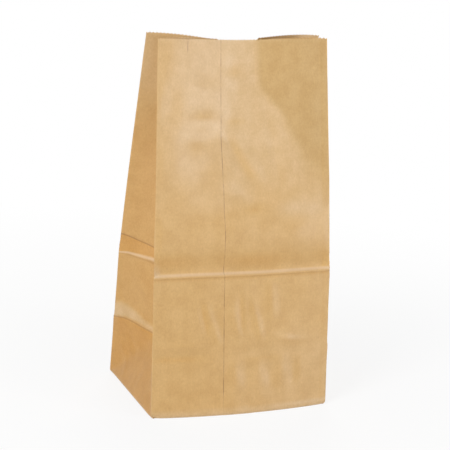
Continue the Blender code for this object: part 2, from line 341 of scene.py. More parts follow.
GUSSET_SWELLS = [
    Patch((16, 95), (6, 9), -0.5),
    Patch((33, 88), (7, 9), 0.4),
    Patch((20, 245), (9, 16), -0.5),
    Patch((30, 190), (10, 12), 0.4),
]

# Far panel: its crease, a line at the apex and its wrinkles.
FAR_CREASE = Level(121.0, 2.2, 0.9)
FAR_WANDER = 0.2
FAR_WAVE = 17.0
FAR_HOLLOW = Level(6.0, 5.0, 0.7)
FAR_APEX_LINE = Level(57.0, 1.6, 0.8)
FAR_STREAKS = [
    Streak((30, 240), (52, 196), 6.0, -0.5),
    Streak((110, 250), (126, 190), 6.0, 0.5),
    Streak((96, 108), (104, 74), 3.5, 0.35),
]
FAR_SWELLS = [Patch((80, 205), (18, 12), -0.6), Patch((60, 90), (12, 9), -0.4)]

# Slow waves of the whole sheet.
BROAD_WAVE = 0.22
NARROW_WAVE = 0.12

# The sheet is stiff beside its folds and at its foot.
FOLD_SHARE = 0.25
FOLD_REACH = 7.0
FOOT_REACH = 9.0


def level(b, line, shift=0.0):
    """Level line: a bell over the distance from its height, which is moved by shift."""
    return line.height * bump(b, line.up + shift, line.reach)


def streaks(a, b, lines):
    """Soft wrinkles: for each, a bell across a straight line, fading by cubic eases at both ends."""
    total = 0.0
    for line in lines:
        run = np.array(line.end) - np.array(line.start)
        length = np.hypot(*run)
        from_a = a - line.start[0]
        from_b = b - line.start[1]
        across = (from_a * run[1] - from_b * run[0]) / length
        along = (from_a * run[0] + from_b * run[1]) / length ** 2
        ends = smooth(along, *STREAK_STARTS) * (1.0 - smooth(along, *STREAK_ENDS))
        total = total + line.height * bump(across, 0.0, line.reach) * ends
    return total


def patches(a, b, spots):
    """Oval swells or patches: for each, a bell across times a bell up from its centre."""
    total = 0.0
    for spot in spots:
        bell = bump(a, spot.centre[0], spot.reach[0]) * bump(b, spot.centre[1], spot.reach[1])
        total = total + spot.height * bell
    return total


def ledge(above, back, rise):
    """Crease across a panel: a lip, a short ledge, a long recovery.

    Below the line the sheet is flush; over the lip it steps back by "back" and then comes
    forward again as a cubic ease that ends at "rise" above the line.
    """
    step = smooth(above, *LEDGE_STEP)
    recovery = smooth(above, LEDGE_STEP[1], rise)
    return level(above, LEDGE_LIP) - back * step * (1.0 - recovery)


def front_crease(a):
    """Height of the all-round crease on the front: level, with a sine for its slow wander."""
    return CREASE_UP + CREASE_WANDER * np.sin(a / CREASE_WAVE) - CREASE_DROP * smooth(a, *CREASE_DROPS)


def front_valley(b):
    """How far across the slanting valley of the front runs, joined by straight pieces."""
    return np.interp(b, VALLEY_UP, VALLEY_ACROSS)


def slanting_valley(a, b):
    """The slanting valley: an exponential fall to both sides, rounded at its foot, deeper upwards."""
    off = a - front_valley(b)
    reach = np.where(off < 0, VALLEY_REACH_LEFT, VALLEY_REACH_RIGHT)
    fall = np.exp(-np.sqrt(off ** 2 + VALLEY_ROUNDING) / reach)
    return -VALLEY_DEPTH * smooth(b, *VALLEY_DEEPENS) * fall


def front_levels(a, b):
    """Rolls and lines across the front: bells up the paper, eased in and out across the panel.

    The ribs of the foot are a cosine across the panel.
    """
    broad = 0.8 + 0.5 * smooth(a, *BROAD_GROWS) - 1.1 * smooth(a, *BROAD_ENDS)
    d = level(b, BROAD_ROLL) * broad
    apex = 1.1 - 0.8 * smooth(a, *APEX_SINKS) + level(a, APEX_SWELLS)
    d += level(b, APEX_ROLL) * apex * (1.0 - smooth(a, *APEX_ENDS))
    d -= level(b, GROOVE) * (1.0 - smooth(a, *GROOVE_ENDS))
    d += level(b, HAIRLINE, -HAIRLINE_FALL * a) * (1.0 - smooth(a, *HAIRLINE_ENDS))
    ribs = np.cos(2.0 * np.pi * (a - FIRST_RIB) / RIB_PITCH)
    d += level(b, RIBS) * ribs * smooth(a, *RIBS_START) * (1.0 - smooth(a, *RIBS_END))
    return d


def front_relief(a, b):
    """Relief of the front panel; a is across from the left fold."""
    d = ledge(b - front_crease(a), LEDGE_BACK, LEDGE_RISE)
    d += slanting_valley(a, b) + front_levels(a, b)
    return d + streaks(a, b, FRONT_STREAKS) + patches(a, b, FRONT_SWELLS)


def gusset_lines(from_fold):
    """Heights of the three lines across a gusset, and of the leaning wedge over the lowest.

    from_fold is the distance from the nearer side fold.  The valley is straight, and the ridge, the
    rim and the wedge are joined by straight pieces.
    """
    valley = GUSSET_VALLEY_UP - GUSSET_VALLEY_FALL * from_fold
    ridge = np.interp(from_fold, RIDGE_FROM_FOLD, RIDGE_UP)
    rim = np.interp(from_fold, RIM_FROM_FOLD, RIM_UP)
    wedge = np.interp(from_fold, WEDGE_FROM_FOLD, WEDGE_TALL)
    return valley, ridge, rim, wedge


def there_and_back(b, start, top, leave, end):
    """Cubic ease up from start to top, and another down from leave to end."""
    return smooth(b, start, top) * (1.0 - smooth(b, leave, end))


def gusset_relief(a, b):
    """Relief of a gusset; a is across it from the fold that comes first round the bag.

    Two lines cross each half at the all-round crease: a sharp valley, and a ridge below it that
    grows towards the tip.  At the height of the apex the sheet steps over a rim and leans back
    above it in a wedge.  Each is built of cubic eases up the paper.  The half beyond the tip has
    the same relief, but less of it.
    """
    half = HALF_DEPTH * MM
    from_fold = np.minimum(a, 2 * half - a)
    valley, ridge, rim, wedge = gusset_lines(from_fold)
    grown = 0.5 + 0.5 * smooth(from_fold, *RIDGE_GROWS)
    crest = smooth(b, ridge - 5.0, ridge - 0.8) - smooth(b, ridge - 0.2, ridge + 4.0)
    d = GUSSET_RIDGE_HEIGHT * grown * crest
    d -= GUSSET_VALLEY_DEPTH * there_and_back(b, ridge + 1.0, valley, valley - 0.1, valley + 1.3)
    over_valley = there_and_back(b, valley - 0.5, valley + 1.5, valley + 1.5, valley + 26.0)
    d -= OVER_VALLEY_DEPTH * over_valley
    d += RIM_HEIGHT * there_and_back(b, rim - 18.0, rim - 1.0, rim - 0.8, rim + 1.0)
    leaning_back = there_and_back(b, rim - 0.5, rim + wedge, rim + wedge, rim + wedge + 32.0)
    d -= WEDGE_DEPTH * leaning_back
    d += streaks(from_fold, b, GUSSET_STREAKS) + patches(from_fold, b, GUSSET_SWELLS)
    first_half = 1.0 - smooth(a, half - 1.0, half + 1.0)
    return d * (SECOND_HALF_SHARE + (1.0 - SECOND_HALF_SHARE) * first_half)


def far_relief(a, b):
    """Relief of the far panel; a is across from its right fold."""
    wander = FAR_WANDER * np.sin(a / FAR_WAVE)
    d = level(b, FAR_CREASE, wander) - level(b, FAR_HOLLOW, FAR_CREASE.up + wander)
    d -= level(b, FAR_APEX_LINE)
    return d + streaks(a, b, FAR_STREAKS) + patches(a, b, FAR_SWELLS)


def long_waves(a, b):
    """Slow unevenness of the sheet: two products of sines over both directions."""
    broad = BROAD_WAVE * np.sin(a / 13.0 + b / 29.0) * np.sin(b / 17.0 + 1.3)
    narrow = NARROW_WAVE * np.sin(a / 6.1 - b / 11.0 + 0.6) * np.sin(a / 23.0 + 2.0)
    return broad + narrow


def nearest_fold(around):
    """Distance from each place to the nearest upright fold, tips of the gussets included."""
    return np.min(np.abs(around[..., None] - np.append(FOLDS, GIRTH)), axis=-1) * MM


def base_corners(a):
    """How round the base fold is, as a share: bells at the corners, most at the front left one."""
    girth = GIRTH * MM
    front_left = bump(np.minimum(a, girth - a), 0.0, 6.0)
    front_right = bump(a, RIGHT_FRONT_FOLD * MM, 7.0)
    far_right = bump(a, RIGHT_FAR_FOLD * MM, 7.0)
    far_left = bump(a, LEFT_FAR_FOLD * MM, 6.0)
    return 1.0 + 0.8 * front_left + 0.3 * (front_right + far_right) - 0.4 * far_left


def relief(around, up):
    """Outward offset of the sheet from its smooth shape, in metres.

    The panels' relief dies away at the folds and the foot, and the base fold is a quarter circle.
    """
    a = around * MM
    b = up * MM
    front = front_relief(a, b)
    right = gusset_relief(a - RIGHT_FRONT_FOLD * MM, b)
    far = far_relief(a - RIGHT_FAR_FOLD * MM, b)
    left = gusset_relief(a - LEFT_FAR_FOLD * MM, b)
    d = by_panel(around, front, right, far, left)
    free = smooth(nearest_fold(around), 0.0, FOLD_REACH)
    d = d * (FOLD_SHARE + (1.0 - FOLD_SHARE) * free) + long_waves(a, b) * free
    d = d * smooth(b, 0.0, FOOT_REACH)
    radius = BASE_ROUND * base_corners(a)
    into_fold = np.clip(1.0 - up / radius, 0.0, 1.0)
    return d / MM - radius * (1.0 - np.sqrt(1.0 - BASE_ARC_SHARE * into_fold ** 2))


def seam_lift(around):
    """The upper ply of the glued seam: one more sheet from the seam line over the lap."""
    start = SEAM_FROM_LEFT_FOLD
    end = start + SEAM_LAP
    places = [start + SEAM_STEP[0], start + SEAM_STEP[1], end, end + SEAM_SETTLE]
    return np.interp(around, places, [0, 1, 1, 0])


# The mesh

def columns():
    """Places round the bag: two for each tooth, with more beside folds, the seam and the tear."""
    ends = [0, RIGHT_FRONT_FOLD, RIGHT_FAR_FOLD, LEFT_FAR_FOLD, GIRTH]
    teeth = [WIDE_TEETH, GUSSET_TEETH, WIDE_TEETH, GUSSET_TEETH]
    regular = np.concatenate([np.linspace(start, end, 2 * number, endpoint=False)
                              for start, end, number in zip(ends, ends[1:], teeth)])
    beside = (FOLDS[:, None] + np.array([-1.0, 1.0]) * FOLD_ROUND).ravel() % GIRTH
    seam = SEAM_FROM_LEFT_FOLD + np.array(SEAM_STEP)
    tear = TEAR_FROM_LEFT_FOLD + np.array([-0.5, 0.0, 0.5]) * TEAR_WIDTH
    extra = np.concatenate([seam, tear])
    clear = np.min(np.abs(regular[:, None] - extra), axis=1) > LEAST_COLUMN
    return np.unique(np.concatenate([regular[clear], beside, extra]))


def rows():
    """Places up the paper, closer together at the base fold, the apex and the crease."""
    parts = [
        [0.0, 0.0004, 0.0010, 0.0018, 0.0029, 0.0044],
        np.arange(0.0075, 0.046, 0.0038),
        np.arange(0.0475, 0.0735, 0.0020),
        np.arange(0.0765, 0.1075, 0.0042),
        np.arange(0.1100, 0.1180, 0.0013),
        np.arange(0.1184, 0.1232, 0.00055),
        np.arange(0.1240, 0.1375, 0.0014),
        np.arange(0.1405, 0.2950, 0.0037),
        [PAPER_HEIGHT - TOP_BAND, 0.3000, 0.3045, 0.3090, 0.3130, PAPER_HEIGHT],
    ]
    return np.concatenate([np.asarray(part, dtype=float) for part in parts])


def mouth_drop(around):
    """How far the cut edge lies below full height.

    The teeth are a triangle wave, the thumb notch a squarish oval of the fourth power, and the
    tear a narrow triangle; the deepest counts, with no teeth in the notch.
    """
    ends = [0, RIGHT_FRONT_FOLD, RIGHT_FAR_FOLD, LEFT_FAR_FOLD, GIRTH]
    teeth_to_there = np.cumsum([0, WIDE_TEETH, GUSSET_TEETH, WIDE_TEETH, GUSSET_TEETH])
    phase = np.mod(np.interp(np.mod(around, GIRTH), ends, teeth_to_there), 1.0)
    teeth = TOOTH_DEPTH * (1.0 - np.abs(2.0 * phase - 1.0))
    off = np.abs(around - (RIGHT_FAR_FOLD + HALF_WIDTH)) / (NOTCH_WIDTH / 2)
    notch = NOTCH_DEPTH * np.sqrt(np.maximum(1.0 - off ** 4, 0.0))
    from_tear = np.abs(around - TEAR_FROM_LEFT_FOLD) / (TEAR_WIDTH / 2)
    tear = TEAR_LENGTH * np.maximum(1.0 - from_tear, 0.0)
    return np.maximum(np.maximum(np.where(notch > 0, 0, teeth), notch), tear)


def unit(vectors):
    """Each vector at length 1."""
    return vectors / np.maximum(np.linalg.norm(vectors, axis=-1, keepdims=True), 1e-12)


def miter(points):
    """Vector that lies one unit out of both strips that meet at a column.

    The normal of each side is the cross product of the run to the next column and the run up the
    sheet; their sum is lengthened by one over one plus their cosine.
    """
    upward = np.gradient(points, axis=0)
    ahead = np.roll(points, -1, axis=1) - points
    behind = points - np.roll(points, 1, axis=1)
    n_ahead = unit(np.cross(ahead, upward))
    n_behind = unit(np.cross(behind, upward))
    agree = (n_ahead * n_behind).sum(axis=-1, keepdims=True)
    return (n_ahead + n_behind) / np.maximum(1.0 + agree, LEAST_MITER)


def sheet_grid():
    """Outer and inner faces of the sheet as rows by columns, with the paper places.

    Every upright fold is rounded by mixing its column with the two beside it.
    """
    around = columns()
    up = np.repeat(rows()[:, None], around.size, axis=1)
    start = PAPER_HEIGHT - TOP_BAND
    squeeze = (TOP_BAND - mouth_drop(around)) / TOP_BAND
    up = np.where(up > start, start + (up - start) * squeeze[None, :], up)
    base = stand(around, up)
    at = np.argmin(np.abs(around[:, None] - FOLDS), axis=0)
    before = base[:, (at - 1) % around.size]
    after = base[:, (at + 1) % around.size]
    base[:, at] = FOLD_KEEP * base[:, at] + (1.0 - FOLD_KEEP) / 2 * (before + after)
    wide = np.broadcast_to(around, up.shape)
    middle = base + unit(miter(base)) * relief(wide, up)[..., None]
    normal = miter(middle)
    outer = middle + normal * (SHEET * (0.5 + seam_lift(wide)))[..., None]
    inner = middle - normal * (SHEET / 2)
    return around, up, outer, inner


def rest_on_plies(up, outer, inner, corners):
    """Moves the foot of the sheet to the levels of the base plies, in place.

    The front lies lowest, the far panel one flap higher and the gussets two, each easing straight
    to nothing over the first millimetres.  The inside ends on the floor of the bag.
    """
    ply = np.full(up.shape[1], 2 * FLAP_STEP)
    ply[:corners[1] + 1] = 0.0
    ply[corners[2]:corners[3] + 1] = FLAP_STEP
    near_foot = np.clip(1.0 - up / PLY_EASE, 0.0, 1.0)
    outer[..., 2] += (ply[None, :] - FLOOR_Z) * near_foot
    outer[0, :, 2] = ply
    outer[..., 2] = np.maximum(outer[..., 2], 0.0)
    inner[0, :, 2] = FLOOR_Z
    inner[..., 2] = np.maximum(inner[..., 2], FLOOR_Z)


def grid_faces(first, rows_count, count, flip):
    """Quads of a grid that closes on itself round the bag.

    A flipped quad keeps its first point, so both faces of the sheet split on the same diagonal.
    """
    r = np.arange(rows_count - 1)[:, None] * count
    c = np.arange(count)[None, :]
    n = (c + 1) % count
    quad = np.stack([r + c, r + n, r + count + n, r + count + c], axis=-1).reshape(-1, 4) + first
    return quad[:, [0, 3, 2, 1]] if flip else quad


def cut_edge(rows_count, count):
    """Quads between the outer and the inner face along the mouth."""
    top = (rows_count - 1) * count
    inner_top = top + rows_count * count
    c = np.arange(count)
    n = (c + 1) % count
    return np.stack([top + c, top + n, inner_top + n, inner_top + c], axis=-1)


def flap_knots():
    """Points of the base where its folded flaps cross and overlap, left side first."""
    cross_x = HALF_WIDTH - HALF_DEPTH
    edge_x = cross_x - FLAP_OVERLAP
    knots = [(s * cross_x, 0.0, z) for s in (-1, 1) for z in (0.0, FLAP_STEP, 2 * FLAP_STEP)]
    return knots + [(s * edge_x, FLAP_OVERLAP, z) for s in (-1, 1) for z in (0.0, FLAP_STEP)]


def base_faces(corners, count, first_inner, first_knot):
    """Faces of the base: the floor inside, the four flaps below and the steps between them."""
    fl, fr, br, bl = corners
    knots = range(first_knot, first_knot + len(flap_knots()))
    low_l, mid_l, high_l, low_r, mid_r, high_r, edge_l0, edge_l1, edge_r0, edge_r1 = knots
    front = list(range(fl, fr + 1))
    right = list(range(fr, br + 1))
    far = list(range(br, bl + 1))
    left = list(range(bl, count)) + [fl]
    floor = list(range(first_inner, first_inner + count))
    flaps = [
        front + [low_r, edge_r0, edge_l0, low_l],
        right + [high_r],
        far + [mid_l, edge_l1, edge_r1, mid_r],
        left + [high_l],
    ]
    steps = [
        [high_l, mid_l, low_l, fl],
        [fr, low_r, mid_r, high_r],
        [bl, mid_l, high_l],
        [high_r, mid_r, br],
        [mid_l, edge_l1, edge_l0, low_l],
        [edge_l1, edge_r1, edge_r0, edge_l0],
        [edge_r1, mid_r, low_r, edge_r0],
    ]
    return [floor] + [flap[::-1] for flap in flaps] + steps


def build_sheet():
    """The bag as one closed mesh: outer face, inner face, cut edge and base plies."""
    around, up, outer, inner = sheet_grid()
    rows_count, count = up.shape
    corner_folds = [0.0, RIGHT_FRONT_FOLD, RIGHT_FAR_FOLD, LEFT_FAR_FOLD]
    corners = [int(np.argmin(np.abs(around - fold))) for fold in corner_folds]
    rest_on_plies(up, outer, inner, corners)
    sheet = np.concatenate([outer.reshape(-1, 3), inner.reshape(-1, 3)])
    first_inner = rows_count * count
    quads = np.concatenate([
        grid_faces(0, rows_count, count, False),
        grid_faces(first_inner, rows_count, count, True),
        cut_edge(rows_count, count),
    ])
    points = np.concatenate([sheet, np.array(flap_knots())])
    faces = quads.tolist() + base_faces(corners, count, first_inner, len(sheet))
    mesh = bpy.data.meshes.new("kraft_bag")
    mesh.from_pydata(points.tolist(), [], faces)
    mesh.update()
    paper_map(mesh, around, up)
    write_marks(mesh, around, up)
    mesh.shade_smooth()
    mesh.set_sharp_from_angle(angle=np.radians(SHARP_DEGREES))
    bag = bpy.data.objects.new("kraft_bag", mesh)
    bpy.context.scene.collection.objects.link(bag)
    return bag


def paper_map(mesh, around, up):
    """UV map of paper places in metres.

    A quad over the front left fold runs on past the girth.  The faces of the base take their
    place in plan instead, moved clear of the rest.
    """
    wide = np.broadcast_to(around, up.shape).ravel()
    paper = np.stack([wide, up.ravel()], axis=1)
    place = np.zeros((len(mesh.vertices), 2))
    place[:2 * len(paper)] = np.concatenate([paper, paper])
    loops = np.empty(len(mesh.loops), dtype=int)
    mesh.loops.foreach_get("vertex_index", loops)
    uv = place[loops]
    starts = np.empty(len(mesh.polygons), dtype=int)
    totals = np.empty(len(mesh.polygons), dtype=int)
    mesh.polygons.foreach_get("loop_start", starts)
    mesh.polygons.foreach_get("loop_total", totals)
    quad = totals == 4
    spans = starts[quad][:, None] + np.arange(4)
    block = uv[spans, 0]
    wraps = (block.max(axis=1) - block.min(axis=1)) > GIRTH / 2
    uv[spans, 0] = np.where(wraps[:, None] & (block < GIRTH / 2), block + GIRTH, block)
    in_base = np.repeat(~quad, totals)
    points = np.empty(len(mesh.vertices) * 3)
    mesh.vertices.foreach_get("co", points)
    uv[in_base] = points.reshape(-1, 3)[loops[in_base]][:, :2] + np.array(BASE_IN_MAP)
    layer = mesh.uv_layers.new(name="paper")
    layer.data.foreach_set("uv", uv.astype(np.float32).ravel())


def write_marks(mesh, around, up):
    """Marks of the finish and of its painted light and shade as an attribute each, the same on both
    faces except for "inside".
    """
    wide = np.broadcast_to(around, up.shape).ravel()
    marks = {name: np.tile(value, 2) for name, value in paper_marks(wide, up.ravel()).items()}
    marks["inside"] = np.repeat([0.0, 1.0], wide.size)
    for name, value in marks.items():
        full = np.zeros(len(mesh.vertices), dtype=np.float32)
        full[:value.size] = value
        attribute = mesh.attributes.new(name=name, type="FLOAT", domain="POINT")
        attribute.data.foreach_set("value", full)


# Marks of the finish and its painted light and shade, in millimetres

# Patches and streaks of the front painted darker, painted shade where its wrinkles face away from
# # the light, and streaks painted paler, painted sheen where they face it.
SHADE_PATCHES = [
    Patch((74, 290), (7, 5), 0.50),
    Patch((45, 252), (13, 4), 0.40),
    Patch((76, 248), (9, 3), 0.40),
    Patch((37, 228), (8, 10), 0.35),
    Patch((90, 174), (10, 4), 0.40),
    Patch((22, 50), (20, 2.4), 0.30),
    Patch((97, 47), (16, 2.2), 0.25),
]
SHADE_STREAKS = [
    Streak((71, 232), (90, 200), 4.5, 0.45),
    Streak((76, 104), (79, 72), 3.0, 0.25),
    Streak((43, 95), (49, 70), 2.4, 0.25),
]
SHEEN_STREAKS = [
    Streak((83, 232), (103, 196), 3.5, 0.25),
    Streak((68, 196), (90, 180), 4.0, 0.25),
    Streak((112, 174), (154, 172), 6.5, 0.50),
]

# The span up the paper over which the front is painted paler (painted sheen) and the far panel
# # lighter (painted light), and over which the painted shade of the facet beyond the slanting valley
# # comes in; level bands and lines: painted shade in BAND and FAR_BAND over the crease and in
# # UNDER_LIP under its lip, a darker line in RIGHT_EDGE by the right fold, and a painted highlight in
# # FOOT_LINE at the foot.
LIFTED = (140.0, 235.0)
BAND = Level(11.0, 6.0, 0.40)
FAR_BAND = Level(12.0, 6.5, 0.4)
UNDER_LIP = Level(-3.2, 1.6, 0.20)
FOOT_LINE = Level(5.2, 1.3, 0.50)
RIGHT_EDGE = Level(154.5, 1.2, 0.20)

# Tone of each kind of panel, from -1 deep to 1 pale, and how much its parts add or take.  FRONT_TONE
# # and FAR_TONE are the paper's own colour; the next is painted light up the far panel; on the
# # gussets all is painted light: a deeper orange for the shade and warm bounce light in the V, painted
# # shade between the lines and under the rim, a painted highlight on the wedge over the rim and
# painted
# # light near the mouth.
FRONT_TONE = 0.08
FAR_TONE = 0.05
FAR_PAINTED_LIGHT = 0.2
SIDE_SHADE_AND_BOUNCE = -0.32
BETWEEN_LINES_SHADE = -0.42
OVER_RIM_HIGHLIGHT = 1.20
UNDER_RIM_SHADE = -0.52
NEAR_MOUTH_LIGHT = 0.90
NEAR_MOUTH = (215.0, 300.0)
TIP_REACH = 0.01
NOWHERE_NEAR = 99.0


def worn_and_lit_edges(around, up):
    """Wear and a painted highlight: the largest of bells at the upright folds, the base fold and the
    cut edge.  The bell at the base fold is both scuffed paper and a painted highlight on the rounded
    foot.
    """
    b = up * MM
    on_tip = np.minimum(np.abs(around - RIGHT_TIP), np.abs(around - LEFT_TIP)) < TIP_REACH
    fold = 0.18 * bump(nearest_fold(around), 0.0, 0.8) * np.where(on_tip & (up < APEX_UP), 0.0, 1.0)
    # Scuffed paper and a painted highlight along the base fold.
    base = 0.6 * bump(b, 0.0, 1.4)
    mouth = 0.4 * bump(b, PAPER_HEIGHT * MM, 0.8)
    return np.maximum(np.maximum(fold, base), mouth)


def beyond_valley(a, b, before, after):
    """Cubic ease across the slanting valley, wider lower down."""
    soft = 13.0 * (1.0 - smooth(b, 190.0, 250.0))
    return smooth(a, front_valley(b) - before - soft, front_valley(b) + after + soft)


def front_tone_and_painted_light(a, b, from_crease):
    """Tone of the front, mostly painted light: eases for its large parts, bells for its lines, patches
    and streaks.  Painted sheen pales the upper part left of the slanting valley and the paper over the
    crease; painted shade darkens a band over the crease and a line under its lip; a painted highlight
    pales the foot; a darker line runs by the right fold.
    """
    # Painted shade: a darker band over the crease, where the sheet turns down.
    band = level(from_crease, BAND) * (0.70 + 0.30 * np.sin(a / 13.0 + 1.0))
    band *= 1.0 - 0.6 * smooth(a, 120.0, 150.0)
    # Painted sheen: paler up the paper, most just left of the slanting valley.
    before_valley = 1.0 - beyond_valley(a, b, 3.0, 5.0)
    upper = smooth(b, *LIFTED) * (before_valley * (0.34 + 0.56 * smooth(a, 50.0, 78.0)) - 0.05)
    # Painted sheen: a little paler over the crease.
    over_crease = 0.07 * smooth(b, 125.0, 150.0)
    lower_right = 0.16 * smooth(a, 60.0, 90.0) * (1.0 - smooth(b, 50.0, 75.0))
    # Painted highlight: a pale band and a pale line at the rounded foot.
    foot = 0.60 * (1.0 - smooth(b, 3.5, 6.0)) + level(b, FOOT_LINE) * smooth(a, 85.0, 125.0)
    # Painted shade: a dark line under the crease's lip; and a darker line by the right fold.
    dark_lines = level(from_crease, UNDER_LIP) + level(a, RIGHT_EDGE)
    tone_and_painted_light = FRONT_TONE + over_crease + upper - band + lower_right + foot - dark_lines
    # Patches and streaks of painted shade, then streaks of painted sheen.
    tone_and_painted_light -= patches(a, b, SHADE_PATCHES) + streaks(a, b, SHADE_STREAKS)
    return tone_and_painted_light + streaks(a, b, SHEEN_STREAKS)


def side_painted_light(b, from_crease, from_valley, from_rim, wedge):
    """Tone of a gusset, all painted light: a deeper orange for the shade and warm bounce light in the
    V, painted shade between ridge and valley and under the rim, a painted highlight on the wedge, and
    painted light near the mouth.
    """
    between = smooth(from_crease, 0.5, 3.0) * (1.0 - smooth(from_valley, -0.6, 0.4))
    over_rim = there_and_back(from_rim, -0.4, 0.8, wedge * 0.6, wedge * 1.1)
    under_rim = 1.0 - smooth(from_rim, -1.5, 0.0)
    tone_and_painted_light = SIDE_SHADE_AND_BOUNCE + BETWEEN_LINES_SHADE * between + OVER_RIM_HIGHLIGHT * over_rim
    return tone_and_painted_light + UNDER_RIM_SHADE * under_rim + NEAR_MOUTH_LIGHT * smooth(b, *NEAR_MOUTH)


def paper_marks(around, up):
    """What the finish needs to know of each place on the paper.

    wear_and_foot_highlight: 0 to 1 on scuffed folds and edges, and at the base fold also a painted
    highlight.  tone: -1 deep orange brown to 1 pale, a drift of the colour that is partly the paper's
    own and mostly painted
    light: painted sheen, shade and highlight.  dull: 0 to 1, painted shade on the facet beyond the
    slanting valley.  from_crease, from_valley, from_rim: signed height in millimetres above three
    creased lines.  On a gusset from_crease is taken from the ridge, and scaled so that its lines get
    wider towards the tip.
    """
    a = around * MM
    b = up * MM
    front = around < RIGHT_FRONT_FOLD
    wide = front | ((around >= RIGHT_FAR_FOLD) & (around < LEFT_FAR_FOLD))
    start = np.where(around < RIGHT_FAR_FOLD, RIGHT_FRONT_FOLD, LEFT_FAR_FOLD) * MM
    across = np.where(wide, 0.0, a - start)
    from_fold = np.minimum(across, PANEL_DEPTH * MM - across)
    valley, ridge, rim, wedge = gusset_lines(from_fold)
    from_ridge = (b - ridge + 0.01 * from_fold) / (0.5 + 0.02 * from_fold)
    from_crease = np.where(wide, b - front_crease(a), from_ridge)
    from_valley = np.where(wide, NOWHERE_NEAR, b - valley)
    from_rim = np.where(wide, NOWHERE_NEAR, b - rim)
    # The far panel's own colour, painted light up the paper, and a band of painted shade over its
    # crease.
    far = FAR_TONE + FAR_PAINTED_LIGHT * smooth(b, *LIFTED) - level(from_crease, FAR_BAND)
    side = side_painted_light(b, from_crease, from_valley, from_rim, wedge)
    return {
        "wear_and_foot_highlight": worn_and_lit_edges(around, up),
        "tone_and_painted_light": by_panel(around, front_tone_and_painted_light(a, b, from_crease), side, far, side),
        # Painted shade on the facet beyond the slanting valley.
        "facet_shade": np.where(front, smooth(b, *LIFTED) * beyond_valley(a, b, 1.0, 3.0), 0.0),
        "from_crease": from_crease,
        "from_valley": from_valley,
        "from_rim": from_rim,
    }


# The paper's finish, with its painted light and shade

# Deep, middle and pale colour of the kraft, and of its inside, which is brighter and warmer than the
# # outside: painted light where the inside lies in shade.
DEEP_KRAFT = (0.610, 0.320, 0.076, 1)
MIDDLE_KRAFT = (0.640, 0.406, 0.164, 1)
PALE_KRAFT = (0.680, 0.480, 0.268, 1)
INSIDE_LIT_KRAFT = (0.76, 0.48, 0.185, 1)
# Painted shade of the facet beyond the slanting valley: darker and greyer.
FACET_SHADE_TINT = (0.905, 0.945, 1.02, 1)
# Pale colour of scuffed folds and edges, and of the painted highlight along the base fold.
RUBBED_AND_LIT_KRAFT = (0.78, 0.60, 0.38, 1)
SEAM_SHADE = (0.26, 0.13, 0.05, 1)
TEAR_SHADE = (0.30, 0.15, 0.06, 1)

Pulp = namedtuple("Pulp", "stretch detail roughness used strength tint")
# Noises of the pulp: stretch across and up the paper, detail, roughness, the range that is used,
# and how strongly each multiplies the colour with its tint.
PULP = {
    "cloud": Pulp((75, 75, 1), 5.0, 0.62, (0.33, 0.67), 0.85, (0.91, 0.875, 0.79, 1)),
    "fibre": Pulp((1500, 260, 1), 3.0, 0.60, (0.30, 0.70), 0.50, (0.90, 0.87, 0.80, 1)),
    "streaks": Pulp((330, 30, 1), 2.0, 0.50, (0.30, 0.70), 0.22, (0.93, 0.91, 0.86, 1)),
    "grain": Pulp((600, 520, 1), 4.0, 0.70, (0.32, 0.68), 0.85, (0.90, 0.875, 0.84, 1)),
}

PaintedLine = namedtuple("PaintedLine", "mark height half_width strength colour")
# Painted light along the creases: the pale line is a painted highlight on the front's ledge and the
# # gussets' ridges, the dark lines are painted shade under them, in the gussets' valleys and under
# # their rims.  Height over the crease and half width in millimetres.
CREASE_PAINTED_LIGHT = [
    PaintedLine("from_crease", 0.3, 1.8, 0.34, (0.84, 0.69, 0.53, 1)),
    PaintedLine("from_crease", -2.2, 1.2, 0.30, (0.42, 0.22, 0.07, 1)),
    PaintedLine("from_valley", 0.0, 0.9, 0.55, (0.30, 0.14, 0.04, 1)),
    PaintedLine("from_rim", -0.6, 0.9, 0.50, (0.34, 0.15, 0.04, 1)),
]

INSIDE_SHARE = 0.8
RUBBED_AND_LIT_SHARE = 0.45

# Line of the seam in metres: where its middle is, how far it is full and where it ends, how dark
# it is, where up the foot it is pressed, and the noise that breaks it.
SEAM_LINE_AT = SEAM_FROM_LEFT_FOLD - 0.0002
SEAM_LINE_SPAN = (0.00020, 0.00050)
SEAM_DARKNESS = 0.68
PRESSED_SPAN = (0.010, 0.016)
PRESSED_SHARE = 0.15
BREAKS = ((20, 75, 1), 3.0, 0.6)
BREAKS_SPAN = (0.38, 0.60)
BREAKS_SHARE = 0.25

# Line of the tear in metres: half width, darkness, and how far below the tear it starts.
TEAR_LINE_HALF = 0.0005
TEAR_DARKNESS = 0.75
TEAR_FADE = 0.003

FIBRE_ROUGHNESS = (0.34, 0.42)
FIBRE_HEIGHT = 0.6
BUMP_STRENGTH = 0.35
BUMP_DISTANCE = 0.00012
NODE_SPACING = 180


def node(tree, kind, **values):
    """New node of a kind, to the right of the tree's other nodes, with its values set."""
    made = tree.nodes.new(kind)
    made.location.x = NODE_SPACING * len(tree.nodes)
    for key, value in values.items():
        setattr(made, key, value)
    return made


def plug(tree, value, socket):
    """Links an output to a socket, or sets a plain value on it."""
    if isinstance(value, bpy.types.NodeSocket):
        tree.links.new(value, socket)
    else:
        socket.default_value = value


def maths(tree, operation, one, two):
    """Output of a Math node over two values, of which ABSOLUTE takes only the first."""
    made = node(tree, "ShaderNodeMath", operation=operation)
    plug(tree, one, made.inputs[0])
    plug(tree, two, made.inputs[1])
    return made.outputs[0]


